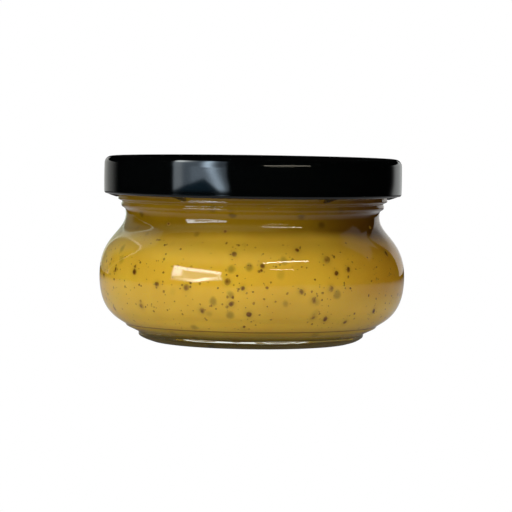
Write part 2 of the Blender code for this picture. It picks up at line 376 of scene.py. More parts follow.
def foot_waves(height, angle):
    """The foot's own long, low waves: sines round the jar whose phase climbs with the height, once in
    FOOT_CLIMB. They fade out at the table and at the notch."""
    draw = np.random.default_rng(8)
    count, tall, shortest, longest = FOOT_WAVES
    total = np.zeros_like(height)
    for _ in range(count):
        turns = int(2 * math.pi * FOOT_RADIUS / draw.uniform(shortest, longest))
        start = draw.uniform(0, 2 * math.pi)
        way = draw.choice([-1, 1])
        phase = start + way * 2 * math.pi * height / draw.uniform(*FOOT_CLIMB)
        total += np.sin(turns * angle + phase) * tall / math.sqrt(count / 2)
    off_table = np.clip(height / FOOT_FADE_LOW, 0, 1)
    off_notch = np.clip((FOOT_HEIGHT - height) / FOOT_FADE_HIGH, 0, 1)
    return total * off_table * off_notch


def glass_relief(radius, height, angle):
    """Adds waves, two seams and six threads to the outside, as small changes of radius."""
    rows = np.arange(len(radius))[:, None]
    rim_row = int(np.argmax(height[:, 0]))
    outside = rows > rim_row
    side = outside & (height > FOOT_HEIGHT) & (height < FINISH_LOW)
    grown = radius + np.where(side, waves(height, angle), 0.0)
    grown += np.where(outside & (radius > STANDING_OUTER), foot_waves(height, angle), 0.0)
    for seam in (SEAM_ANGLE, SEAM_ANGLE + math.pi):
        across = wrapped(angle - seam) * radius / SEAM_HALF_WIDTH
        grown += np.where(outside & (height > 0.5 * MM), SEAM_PROUD * np.exp(-across ** 2), 0.0)
    for index in range(LUGS):
        share = wrapped(angle - FIRST_LUG - index * 2 * math.pi / LUGS) / THREAD_SPAN + 0.5
        middle = THREAD_TOP - THREAD_DROP * np.clip(share, 0, 1)
        ridge = np.clip(1 - ((height - middle) / THREAD_HALF_HEIGHT) ** 2, 0, 1)
        ends = np.clip(np.minimum(share, 1 - share) / THREAD_RUN_OUT, 0, 1)
        grown += np.where(outside & (height > FINISH_LOW), THREAD_PROUD * ridge * ends, 0.0)
    return grown, height

# %% Glass material
def moulded_glass():
    """Soda-lime container glass: IOR 1.52, fire-polished, the faintest green in its thickness. It is clear
    to shadow rays and to soft light."""
    made, tree, output = new_material("soda_lime_glass")
    glass = add(tree, "ShaderNodeBsdfPrincipled", sockets={
        "Base Color": linear("#f4faf4"),
        "Roughness": 0.015,
        "IOR": 1.52,
        "Transmission Weight": 1.0,
    })
    path = add(tree, "ShaderNodeLightPath").outputs
    clear = add(tree, "ShaderNodeBsdfTransparent", sockets={"Color": linear("#f2f7f0")})
    mixed = add(tree, "ShaderNodeMixShader", sockets={
        0: calculated(tree, "MAXIMUM", path["Is Shadow Ray"], path["Is Diffuse Ray"]),
        1: glass.outputs[0],
        2: clear.outputs[0],
    })
    tree.links.new(mixed.outputs[0], output.inputs["Surface"])
    return made


jar = turned("glass_jar", glass_points, GLASS_AROUND, glass_relief)
jar.data.materials.append(moulded_glass())
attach(jar, "root")
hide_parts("jar")

# %% [markdown]
# The lid
#
# A twist-off cap is drawn from thin tinplate and stoved with black enamel. Its shoulder is a tight arc, its
# skirt is plain, and its lower edge is curled inwards and pinched at six places into lugs, which catch
# under the threads of the glass. It is modelled as one closed sheet, with the pinches as a dip of the curl.

# %% Lid profile and lugs
SKIRT_BARREL = 150.0 * MM


def lid_line():
    """Out over the top, down the skirt, round the curl and back under the sheet."""
    top = [
        (0.0, LID_TOP - PANEL_DROP + BUTTON_RISE),
        (BUTTON_RADIUS, LID_TOP - PANEL_DROP + BUTTON_RISE),
        (BUTTON_RADIUS + 2.0 * MM, LID_TOP - PANEL_DROP),
        (PANEL_RADIUS, LID_TOP - PANEL_DROP),
        (PANEL_RADIUS + 1.2 * MM, LID_TOP),
    ]
    up = np.linspace(LID_TOP - LID_SHOULDER, LID_BOTTOM + CURL_RADIUS, 30)[1:-1]
    middle = (up[0] + up[-1]) / 2
    skirt = np.stack([LID_RADIUS - (up - middle) ** 2 / (2 * SKIRT_BARREL), up], axis=1)
    lean = (up[0] - middle) / SKIRT_BARREL
    turn = np.linspace(math.pi / 2, lean, 14)
    centre = np.array([skirt[0, 0] - LID_SHOULDER, LID_TOP - LID_SHOULDER])
    arc = np.stack([np.cos(turn), np.sin(turn)], axis=1)
    shoulder = centre + LID_SHOULDER * arc
    inner_shoulder = centre + (LID_SHOULDER - LID_WALL) * arc[::-1]
    roll = np.linspace(-lean, -math.pi, 12)
    curl_centre = np.array([skirt[-1, 0] - CURL_RADIUS, LID_BOTTOM + CURL_RADIUS])
    curl = curl_centre + CURL_RADIUS * np.stack([np.cos(roll), np.sin(roll)], axis=1)
    curl_top = [(LID_RADIUS - LID_WALL, LID_BOTTOM + 3 * CURL_RADIUS)]
    over = rounded(top + [tuple(shoulder[0])], 1.0 * MM)
    under = rounded([(radius, height - LID_WALL) for radius, height in reversed(top)], 0.8 * MM)
    return np.concatenate([over[:-1], shoulder, skirt, curl, curl_top, inner_shoulder, under])


LUG_DIP = 1.3 * MM
LUG_REACH = 2.9 * MM
LUG_WIDTH = 2.8 * MM


def lid_relief(radius, height, angle):
    """At each lug the inner half of the curl dips by LUG_DIP and reaches in by LUG_REACH, as a smooth
    hump of the angle: exp(-(arc length / half width)^4)."""
    rows = np.arange(len(radius))[:, None]
    low_row = int(np.argmin(height[:, 0]))
    behind = np.clip((LID_RADIUS - 0.2 * MM - radius) / (0.7 * MM), 0, 1)
    inner = (rows >= low_row) & (height < LID_BOTTOM + 3.2 * CURL_RADIUS)
    weight = np.where(inner, behind, 0.0)
    for index in range(LUGS):
        along = wrapped(angle - FIRST_LUG - index * 2 * math.pi / LUGS) * LID_RADIUS
        hump = np.exp(-(along / (LUG_WIDTH / 2)) ** 4) * weight
        radius = radius - LUG_REACH * hump
        height = height - LUG_DIP * hump * (height < LID_BOTTOM + 1.6 * CURL_RADIUS)
    return radius, height


def stoved_enamel():
    """Black stoving enamel on tinplate: a smooth, hard, wet-looking coat, IOR about 1.5."""
    made, tree, output = new_material("black_stoving_enamel")
    place = add(tree, "ShaderNodeTexCoord").outputs["Object"]
    peel = noise(tree, place, 260.0)["Fac"]
    bump = add(tree, "ShaderNodeBump", sockets={"Strength": 0.05, "Distance": 0.02 * MM, "Height": peel})
    coat = add(tree, "ShaderNodeBsdfPrincipled", sockets={
        "Base Color": linear("#030404"),
        "Roughness": ramp(tree, peel, (0.0, 1.0), (0.035, 0.075), "LINEAR"),
        "IOR": 1.5,
        "Normal": bump.outputs[0],
    })
    tree.links.new(coat.outputs[0], output.inputs["Surface"])
    return made


LID_SPACING = 0.5 * MM
LID_FINE_SPACING = 0.28 * MM
LID_AROUND = 360
SKIRT_BOX = ((38.0 * MM, 41.0 * MM), (43.0 * MM, 53.0 * MM))
lid_points = resampled(lid_line(), LID_SPACING, fine=[(*SKIRT_BOX, LID_FINE_SPACING)])
lid = turned("twist_off_lid", lid_points, LID_AROUND, lid_relief)
lid.data.materials.append(stoved_enamel())
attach(lid, "root")
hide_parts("lid")

# %% [markdown]
# The mustard seeds
#
# Brown mustard seeds are nearly round, one and a half to two and a half millimetres across, and those at
# the wall press against the glass. Ground mustard leaves much smaller dark flakes of hull between them.
# The seeds come first, because the dressing round each one is a little darker.

# %% Where the seeds lie
FRONT_SEEDS = (
    (30.0, 25.0 * MM, 2.4 * MM),
    (31.0, 17.6 * MM, 1.9 * MM),
    (24.0, 14.6 * MM, 1.9 * MM),
    (25.0, 10.2 * MM, 1.7 * MM),
    (33.5, 21.6 * MM, 1.7 * MM),
    (-50.0, 20.8 * MM, 1.8 * MM),
    (-38.0, 18.0 * MM, 1.7 * MM),
    (-25.0, 17.5 * MM, 2.0 * MM),
    (-9.0, 19.4 * MM, 1.9 * MM),
    (-7.0, 26.4 * MM, 1.8 * MM),
    (4.0, 23.6 * MM, 1.5 * MM),
    (-12.0, 32.3 * MM, 1.5 * MM),
)
SEED_COUNT = 44
SEED_SPACING = 4.2 * MM
SEED_SIZES = (1.4 * MM, 2.0 * MM)
SEED_HEIGHTS = (8.0 * MM, 34.0 * MM)


def seed_places():
    """The plain seeds of the front, then others drawn clear of them all round the jar."""
    draw = random.Random(21)
    places = [(math.radians(angle), height, size) for angle, height, size in FRONT_SEEDS]
    wanted = SEED_COUNT + len(places)
    while len(places) < wanted:
        angle = draw.uniform(-math.pi, math.pi)
        height = draw.uniform(*SEED_HEIGHTS)
        size = draw.uniform(*SEED_SIZES)
        gaps = [math.hypot(wrapped(angle - a) * WIDEST[0], height - h) for a, h, _ in places]
        if min(gaps) >= SEED_SPACING:
            places.append((angle, height, size))
    return np.array(places)


seeds = seed_places()
print("seeds:", len(seeds), "largest", round(seeds[:, 2].max() / MM, 2), "mm")

# %% Seeds as one mesh
SIDE_SPACING = 0.25 * MM
SIDE_START = 5.3 * MM
SLOPE_STEP = 0.3 * MM
fill_side = inset(resampled(inner_side(), SIDE_SPACING), -INTO_WALL)
wall_part = fill_side[fill_side[:, 1] > SIDE_START]


def on_wall(angle, height, depth):
    """The place at a depth behind the dressing's side, and the way out of it there."""
    radius = np.interp(height, wall_part[:, 1], wall_part[:, 0])
    ahead = np.interp(height + SLOPE_STEP, wall_part[:, 1], wall_part[:, 0])
    lean = np.arctan2(ahead - radius, SLOPE_STEP)
    right, back = np.sin(angle), -np.cos(angle)
    outward = np.stack([np.cos(lean) * right, np.cos(lean) * back, -np.sin(lean)], axis=-1)
    place = np.stack([radius * right, radius * back, height], axis=-1)
    return place - outward * depth[..., None], outward


def scattered(name, angle, height, size, depth, shape, faces, flatness, rough, seed, faintest):
    """Copies of one small closed shape: each is turned at random, stretched, roughened and set at the wall.
    point = place + R (shape * size / 2 * stretch). The attribute "bare" says how far a point looks out of
    the dressing: 1 at the outermost point of a piece, less near its rim and on a piece that lies deep."""
    draw = np.random.default_rng(seed)
    count = len(angle)
    place, outward = on_wall(angle, height, depth)
    side = np.stack([np.cos(angle), np.sin(angle), np.zeros(count)], axis=1)
    up = np.cross(outward, side)
    spin = draw.uniform(0, 2 * math.pi, count)[:, None]
    first = side * np.cos(spin) + up * np.sin(spin)
    second = np.cross(outward, first)
    turn = np.stack([first, second, outward], axis=2)
    stretch = np.stack([
        draw.uniform(0.88, 1.12, count),
        draw.uniform(0.72, 1.0, count),
        flatness * draw.uniform(0.9, 1.1, count),
    ], axis=1)
    bumpy = 1 + rough * draw.standard_normal((count, len(shape), 1))
    local = shape[None] * bumpy * stretch[:, None] * size[:, None, None] / 2
    points = place[:, None] + np.einsum("nij,nkj->nki", turn, local)
    offset = np.arange(count)[:, None, None] * len(shape)
    made = mesh_object(name, points.reshape(-1, 3), (faces[None] + offset).reshape(-1, faces.shape[1]))
    bare = np.clip(shape[:, 2], 0, 1)[None] * draw.uniform(faintest, 1.0, count)[:, None]
    made.data.attributes.new("bare", "FLOAT", "POINT").data.foreach_set("value", bare.ravel())
    print(name, count, "pieces,", count * len(faces), "faces")
    return made


def ball(rings, around):
    """A unit ball as points and triangles: rings between two poles."""
    polar = np.linspace(0, math.pi, rings + 2)[1:-1, None]
    turn = np.linspace(0, 2 * math.pi, around, endpoint=False)[None]
    shell = np.stack([
        np.sin(polar) * np.cos(turn),
        np.sin(polar) * np.sin(turn),
        np.repeat(np.cos(polar), around, axis=1),
    ], axis=2)
    points = np.concatenate([shell.reshape(-1, 3), [[0, 0, 1.0], [0, 0, -1.0]]])
    index = np.arange(rings * around).reshape(rings, around)
    after = np.roll(index, -1, axis=1)
    lower = np.stack([index[:-1], index[1:], after[1:]], axis=2).reshape(-1, 3)
    upper = np.stack([index[:-1], after[1:], after[:-1]], axis=2).reshape(-1, 3)
    top = np.stack([np.full(around, rings * around), index[0], after[0]], axis=1)
    bottom = np.stack([after[-1], index[-1], np.full(around, rings * around + 1)], axis=1)
    return points, np.concatenate([lower, upper, top, bottom])


def seed_coat():
    """The coat of a brown mustard seed: dull, pitted, dark brown with a little sauce clinging to it."""
    made, tree, output = new_material("mustard_seed_coat")
    place = add(tree, "ShaderNodeTexCoord").outputs["Object"]
    pits = noise(tree, place, 1400.0, 3.0)["Fac"]
    tone = ramp(tree, pits, (0.35, 0.65), kind="LINEAR")
    bare = add(tree, "ShaderNodeAttribute", {"attribute_name": "bare"})
    uneven = calculated(tree, "MULTIPLY_ADD", pits, 0.5, bare.outputs["Fac"])
    clear = ramp(tree, uneven, (0.62, 1.12))
    brown = blended(tree, tone, linear("#562f04"), linear("#7d4e0e"))
    coat = add(tree, "ShaderNodeBsdfPrincipled", sockets={
        "Base Color": blended(tree, clear, linear("#c08f2a"), brown),
        "Roughness": 0.6,
        "Specular IOR Level": 0.1,
    })
    tree.links.new(coat.outputs[0], output.inputs["Surface"])
    return made


SEED_FLATNESS = 0.4
SEED_SUNK = 0.22
seed_shape, seed_faces = ball(14, 18)
seed_depth = seeds[:, 2] * SEED_FLATNESS * SEED_SUNK
seed_piece = scattered(
    "mustard_seeds", seeds[:, 0], seeds[:, 1], seeds[:, 2], seed_depth,
    seed_shape, seed_faces, flatness=SEED_FLATNESS, rough=0.035, seed=3, faintest=0.66,
)
seed_piece.data.materials.append(seed_coat())
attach(seed_piece, "root")
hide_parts("dressing")

# %% [markdown]
# The hull flakes
#
# Crushed hulls are flat chips a few tenths of a millimetre across. They are one mesh of many small,
# flattened balls with few sides, drawn from a rule: a few large, most of them small, and some lie right
# beside a seed.

# %% Hull flakes as one mesh
FLAKES = 1000
BESIDE_SEEDS = 160
FLAKE_HEIGHTS = (6.5 * MM, 29.0 * MM)
FLAKE_SMALLEST = 0.35 * MM
FLAKE_SPREAD = 0.75 * MM
FLAKE_FLATNESS = 0.35
FLAKE_SUNK = 0.1
FLAKE_PROUD = 0.04 * MM


def flake_places():
    """Angles, heights and sizes of the flakes. The power law keeps most of them small."""
    draw = np.random.default_rng(12)
    angle = draw.uniform(-math.pi, math.pi, FLAKES)
    height = draw.uniform(*FLAKE_HEIGHTS, FLAKES)
    size = FLAKE_SMALLEST + FLAKE_SPREAD * draw.power(0.35, FLAKES)
    close = draw.integers(0, len(seeds), BESIDE_SEEDS)
    turn = draw.uniform(0, 2 * math.pi, BESIDE_SEEDS)
    apart = seeds[close, 2] * draw.uniform(0.6, 1.25, BESIDE_SEEDS)
    angle[:BESIDE_SEEDS] = seeds[close, 0] + apart * np.cos(turn) / WIDEST[0]
    height[:BESIDE_SEEDS] = np.clip(seeds[close, 1] + apart * np.sin(turn), *FLAKE_HEIGHTS)
    return angle, height, size


flake_angle, flake_height, flake_size = flake_places()
flake_shape, flake_faces = ball(2, 6)
flake_depth = flake_size * FLAKE_SUNK - FLAKE_PROUD
flakes = scattered(
    "mustard_hull_flakes", flake_angle, flake_height, flake_size, flake_depth,
    flake_shape, flake_faces, flatness=FLAKE_FLATNESS, rough=0.12, seed=4, faintest=0.6,
)
flakes.data.materials.append(seed_piece.data.materials[0])
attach(flakes, "root")
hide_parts("dressing")

# %% [markdown]
# The dressing
#
# A thick emulsion of oil, honey and mustard. It is opaque, but light sinks a little way in and comes out
# softened, so it has subsurface scattering with the red end travelling furthest. It is drawn from the
# floor to its level and reaches a little into the wall of the glass, so no film of air shows between them.

# %% Dressing
DRESSING_SPACING = 0.55 * MM
DRESSING_AROUND = 480
SHADE_REACH = 0.62
# Painted shade: the dressing is darkened towards its right side, above the heel.
RIGHT_SHADE_EDGES = (15.0 * MM, 40.0 * MM)
ABOVE_HEEL = (11.0 * MM, 18.0 * MM)
RIGHT_PAINTED_SHADE = (0.72, 0.60, 0.36, 1.0)
# Painted light half-way up the dressing and painted shade on its shoulder under the lid.
PAINTED_LIGHT_HEIGHTS = (12.0 * MM, 20.0 * MM)
PAINTED_SHADE_HEIGHTS = (24.5 * MM, 29.5 * MM)
SAG = 1.8
# Painted shadow of the lid in the neck: the heights of its edge, the sides, and its tint from left to
# right.
LID_SHADOW_EDGE = (30.9 * MM, 34.4 * MM)
LID_SHADOW_SIDES = (4.0 * MM, 34.0 * MM)
LID_SHADOW_LEFT = (0.43, 0.385, 0.08, 1.0)
LID_SHADOW_RIGHT = (0.18, 0.122, 0.018, 1.0)
# Painted shade: a thin dark line where the dressing turns under at the floor's edge.
EDGE_SHADE_LOW = (5.6 * MM, 5.85 * MM)
EDGE_SHADE_HIGH = (6.0 * MM, 6.25 * MM)
EDGE_SHADE_TINT = (0.45, 0.34, 0.10, 1.0)


def fill_line():
    """Out over the surface with a small meniscus, down the side and in over the floor."""
    side = fill_side[::-1]
    brim = (FINISH_RADIUS - WALL + INTO_WALL, FILL_TOP + 0.3 * MM)
    top = rounded([(0.0, FILL_TOP), (33.0 * MM, FILL_TOP), brim, tuple(side[0])], 0.8 * MM)
    lowest = FLOOR_EDGE[1] - INTO_WALL
    floor = [(FLOOR_BEND[0], lowest + FLOOR_BEND[1]), (0.0, lowest + FLOOR_RISE)]
    return np.concatenate([top[:-1], side, floor])


def shade_round_seeds(piece):
    """Writes how close each point is to a seed into the attribute "seed_shade": the sum over the seeds of
    exp(-(distance / reach)^2), at most 1. The reach grows with the seed."""
    place = np.empty(len(piece.data.vertices) * 3)
    piece.data.vertices.foreach_get("co", place)
    points = place.reshape(-1, 3)
    centres, _ = on_wall(seeds[:, 0], seeds[:, 1], np.zeros(len(seeds)))
    total = np.zeros(len(points))
    for centre, size in zip(centres, seeds[:, 2]):
        total += np.exp(-((points - centre) ** 2).sum(axis=1) / (SHADE_REACH * size) ** 2)
    shade = piece.data.attributes.new("seed_shade", "FLOAT", "POINT")
    shade.data.foreach_set("value", np.clip(total, 0.0, 1.0))


def deep_spots(tree, place):
    """Where seeds lie deeper in the dressing: the middles of some cells of a warped cell pattern."""
    moved = add(tree, "ShaderNodeVectorMath", {"operation": "MULTIPLY_ADD"}, {
        0: noise(tree, place, 420.0)["Color"],
        1: (1.1 * MM, 1.1 * MM, 1.1 * MM),
        2: place,
    })
    sockets = {"Vector": moved.outputs[0], "Scale": 210.0, "Randomness": 1.0}
    cells = add(tree, "ShaderNodeTexVoronoi", sockets=sockets).outputs
    middles = ramp(tree, cells["Distance"], (0.10, 0.34), (1.0, 0.0))
    drawn = add(tree, "ShaderNodeSeparateColor", sockets={0: cells["Color"]}).outputs[0]
    some = ramp(tree, drawn, (0.56, 0.98), (0.0, 0.55))
    return calculated(tree, "MULTIPLY", middles, some)


def painted_lid_shadow(tree, place, x, z):
    """How much of the lid's painted shadow lies on the dressing: from nothing below the neck to all of it
    in the neck. The shadow's edge sags at both sides, by SAG times x squared, and is uneven by 2 mm."""
    sagged = calculated(tree, "MULTIPLY_ADD", calculated(tree, "MULTIPLY", x, x), SAG, z)
    height = calculated(tree, "MULTIPLY_ADD", noise(tree, place, 55.0)["Fac"], 2.0 * MM, sagged)
    return ramp(tree, height, LID_SHADOW_EDGE)


def emulsion():
    """Honey mustard dressing: golden, a little mottled, with deeper seeds that show as faint olive spots
    and a shade round each seed. Painted shade darkens it at the right and on the shoulder, painted light
    makes it paler half-way up, the lid's shadow is painted into the neck, and a thin line of painted shade
    runs along the floor's edge."""
    made, tree, output = new_material("honey_mustard_emulsion")
    place = add(tree, "ShaderNodeTexCoord").outputs["Object"]
    x, _, z = add(tree, "ShaderNodeSeparateXYZ", sockets={0: place}).outputs
    swirl = noise(tree, place, 70.0, 3.0)["Fac"]
    colour = blended(tree, swirl, linear("#efbe3b"), linear("#d2a02f"))
    colour = blended(tree, deep_spots(tree, place), colour, linear("#6f5a14"))
    halo = add(tree, "ShaderNodeAttribute", {"attribute_name": "seed_shade"})
    share = calculated(tree, "MULTIPLY", halo.outputs["Fac"], 0.4)
    colour = blended(tree, share, colour, linear("#9a6a1a"))
    # Painted shade towards the right, where less light falls.
    right = calculated(tree, "MULTIPLY", ramp(tree, x, RIGHT_SHADE_EDGES), ramp(tree, z, ABOVE_HEEL))
    colour = blended(tree, right, colour, RIGHT_PAINTED_SHADE, "MULTIPLY")
    # Painted light and shade by height: brighter half-way up, darker on the shoulder.
    painted_light = ramp(tree, z, PAINTED_LIGHT_HEIGHTS, (1.0, 1.16))
    painted_shade = ramp(tree, z, PAINTED_SHADE_HEIGHTS, (1.0, 0.78))
    level = calculated(tree, "MULTIPLY", painted_light, painted_shade)
    scaled = add(tree, "ShaderNodeVectorMath", {"operation": "SCALE"}, {0: colour, "Scale": level})
    # The lid's painted shadow in the neck, darker at the right.
    lid_shadow_tint = blended(tree, ramp(tree, x, LID_SHADOW_SIDES), LID_SHADOW_LEFT, LID_SHADOW_RIGHT)
    colour = blended(tree, painted_lid_shadow(tree, place, x, z), scaled.outputs[0], lid_shadow_tint, "MULTIPLY")
    # A thin line of painted shade at the floor's edge.
    above, below = ramp(tree, z, EDGE_SHADE_LOW), ramp(tree, z, EDGE_SHADE_HIGH[::-1])
    edge_shade = calculated(tree, "MULTIPLY", above, below)
    colour = blended(tree, edge_shade, colour, EDGE_SHADE_TINT, "MULTIPLY")
    sauce = add(tree, "ShaderNodeBsdfPrincipled", sockets={
        "Base Color": colour,
        "Roughness": 0.5,
        "Specular IOR Level": 0.05,
        "Subsurface Weight": 0.6,
        "Subsurface Radius": (1.0, 0.6, 0.2),
        "Subsurface Scale": 1.2 * MM,
    })
    tree.links.new(sauce.outputs[0], output.inputs["Surface"])
    return made


dressing = turned("honey_mustard_dressing", resampled(fill_line(), DRESSING_SPACING), DRESSING_AROUND)
shade_round_seeds(dressing)
dressing.data.materials.append(emulsion())
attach(dressing, "root")
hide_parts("dressing")

# %% [markdown]
# The stage and the light
#
# The jar stands on a white table in a room that is dark in front, which is what leaves the lid black. A
# window at the left and two slim lamps at the right draw the highlights. Soft lamps that leave no
# reflection light the dressing. Pale cards beside and behind the jar give the lid and the glass their grey
# edges.

# %% Floor and world
FLOOR_REACH = 850.0 * MM
TABLE_LEVEL = 0.45
TABLE_LEVEL_SOFT = 0.9
TABLE_LEVEL_UNDER = 0.06
TABLE_LEVEL_THROUGH = 0.5
SHADE_EDGE = (22.0 * MM, 60.0 * MM)
FADE_EDGE = (160.0 * MM, 420.0 * MM)
FLOOR_SIDES = 96


def white_table():
    """White to the eye. For the jar's own light it is dark under the jar, white from SHADE_EDGE on and gone
    beyond FADE_EDGE, as a smooth function of the distance from the jar's axis."""
    made, tree, output = new_material("white_table")
    path = add(tree, "ShaderNodeLightPath").outputs
    place = add(tree, "ShaderNodeTexCoord").outputs["Object"]
    away = add(tree, "ShaderNodeVectorMath", {"operation": "LENGTH"}, {0: place}).outputs["Value"]
    near = ramp(tree, away, SHADE_EDGE, (TABLE_LEVEL_UNDER, 1.0))
    far = ramp(tree, away, FADE_EDGE, (1.0, 0.0))
    lit = calculated(tree, "MULTIPLY", near, far)
    level = ramp(tree, path["Is Diffuse Ray"], (0.0, 1.0), (TABLE_LEVEL, TABLE_LEVEL_SOFT), "LINEAR")
    table = calculated(tree, "MULTIPLY", lit, level)
    seen_through = calculated(tree, "MULTIPLY", near, TABLE_LEVEL_THROUGH)
    through = calculated(tree, "MULTIPLY", seen_through, path["Is Transmission Ray"])
    other = calculated(tree, "MAXIMUM", table, through)
    glow = calculated(tree, "MAXIMUM", other, path["Is Camera Ray"])
    sheet = add(tree, "ShaderNodeEmission", sockets={"Strength": glow})
    tree.links.new(sheet.outputs[0], output.inputs["Surface"])
    return made


turns = np.linspace(0, 2 * math.pi, FLOOR_SIDES, endpoint=False)
disc = np.stack([FLOOR_REACH * np.cos(turns), FLOOR_REACH * np.sin(turns), np.zeros(FLOOR_SIDES)], axis=1)
floor = mesh_object("floor", disc, [list(range(FLOOR_SIDES))])
floor.data.materials.append(white_table())

WORLD_LEVEL = 0.002
WORLD_LEVEL_SOFT = 0.08


def dark_room():
    """A world that is white to the eye, also through the glass, and nearly dark for the jar's own light."""
    made = bpy.data.worlds.new("room")
    made.use_nodes = True
    tree = made.node_tree
    tree.nodes.clear()
    path = add(tree, "ShaderNodeLightPath").outputs
    seen = calculated(tree, "MAXIMUM", path["Is Camera Ray"], path["Is Transmission Ray"])
    dim = ramp(tree, path["Is Diffuse Ray"], (0.0, 1.0), (WORLD_LEVEL, WORLD_LEVEL_SOFT), "LINEAR")
    level = calculated(tree, "MAXIMUM", seen, dim)
    sockets = {"Color": (1.0, 1.0, 1.0, 1.0), "Strength": level}
    room = add(tree, "ShaderNodeBackground", sockets=sockets)
    add(tree, "ShaderNodeOutputWorld", sockets={"Surface": room.outputs[0]})
    return made


scene = bpy.context.scene
scene.view_settings.view_transform = "Standard"
scene.world = dark_room()

# %% Lamps
AIM_HEIGHT = 25.0 * MM


def facing(azimuth, elevation, distance):
    """The place at a distance from the jar's middle: azimuth 0 is the front, and both are in radians."""
    return np.stack([
        distance * np.cos(elevation) * np.sin(azimuth),
        -distance * np.cos(elevation) * np.cos(azimuth),
        AIM_HEIGHT + distance * np.sin(elevation),
    ], axis=-1)


def lamp(name, azimuth, elevation, distance, width, height, radiance, colour, reflects):
    """A soft rectangle that faces the jar. Power in watts = radiance * pi * area. Azimuth 0 is the front,
    and both angles are in degrees."""
    light = bpy.data.lights.new(name, "AREA")
    light.shape = "RECTANGLE"
    light.size = width
    light.size_y = height
    light.color = linear(colour)[:3]
    light.energy = radiance * math.pi * width * height
    made = bpy.data.objects.new(name, light)
    scene.collection.objects.link(made)
    across, rise = math.radians(azimuth), math.radians(elevation)
    made.location = facing(across, rise, distance).tolist()
    made.rotation_euler = (math.pi / 2 - rise, 0.0, across)
    made.visible_camera = False
    made.visible_glossy = reflects
    made.visible_transmission = reflects


# Each lamp: azimuth, elevation, distance, width, height, radiance, colour, and if it shows in the gloss.
lamp("window_light", -41.0, 14.0, 0.65, 0.52, 0.26, 4.2, "#f4f8ff", False)
lamp("front_fill", -14.0, 14.0, 0.95, 1.0, 0.35, 1.0, "#ffffff", False)
lamp("high_fill", -12.0, 62.0, 0.90, 0.70, 0.45, 0.5, "#ffffff", False)
lamp("slim_lamp", 28.0, 35.0, 0.70, 0.40, 0.022, 24.0, "#fff6e0", True)
lamp("slim_lamp_low", 22.0, 20.0, 0.70, 0.22, 0.010, 14.0, "#fff6e0", True)

# %% Cards that are only seen as reflections
def card(name, azimuths, elevations, distance, glow, steps, seen_by):
    """A curved sheet round the jar whose light is glow(azimuth, elevation), in degrees, as linear colours.
    It shows only in the gloss of the pieces in seen_by, so it leaves the light on the dressing alone."""
    across = np.linspace(*azimuths, steps[0] + 1)
    rise = np.linspace(*elevations, steps[1] + 1)
    across, rise = np.meshgrid(across, rise, indexing="ij")
    points = facing(np.radians(across), np.radians(rise), distance).reshape(-1, 3)
    index = np.arange(across.size).reshape(across.shape)
    corners = [index[:-1, :-1], index[1:, :-1], index[1:, 1:], index[:-1, 1:]]
    made = mesh_object(name, points, np.stack(corners, axis=2).reshape(-1, 4))
    level = made.data.attributes.new("glow", "FLOAT_VECTOR", "POINT")
    level.data.foreach_set("vector", glow(across, rise).reshape(-1).astype(np.float32))
    finish, tree, output = new_material(name)
    shine = add(tree, "ShaderNodeAttribute", {"attribute_name": "glow"})
    sheet = add(tree, "ShaderNodeEmission", sockets={"Color": shine.outputs["Color"]})
    clear = add(tree, "ShaderNodeBsdfTransparent")
    both = add(tree, "ShaderNodeAddShader", sockets={0: sheet.outputs[0], 1: clear.outputs[0]})
    tree.links.new(both.outputs[0], output.inputs["Surface"])
    made.data.materials.append(finish)
    made.visible_camera = False
    made.visible_diffuse = False
    made.visible_transmission = False
    made.visible_shadow = False
    receivers = bpy.data.collections.new(name + "_receivers")
    for piece in seen_by:
        receivers.objects.link(piece)
    made.light_linking.receiver_collection = receivers


def tinted(level, hex_colour):
    """Light of a level in one colour."""
    return level[..., None] * np.array(linear(hex_colour)[:3])


def step(value, edge, softness):
    """A smooth step from 0 to 1 round an edge: 1 / (1 + exp(-(value - edge) / softness))."""
    return 1 / (1 + np.exp(np.clip(-(value - edge) / softness, -60, 60)))


def between(value, low, high, softness):
    """About 1 from low to high and 0 outside, as the product of two smooth steps."""
    return step(value, low, softness) * step(-value, -high, softness)


LID_WINDOW_SIDES = (-61.0, -17.2)
LID_BLOCK_END = -53.5
LID_PANE_START = -46.5
STRIP_MIDDLE = -31.0
STRIP_LEAN = 1.6
STRIP_PIVOT = 3.6
HILL_PEAK = -36.4
HILL_HEIGHT = 1.55
HILL_SLOPES = (0.115, 0.245)
ROOM_END = -136.0
GLARE_MIDDLE = -58.0


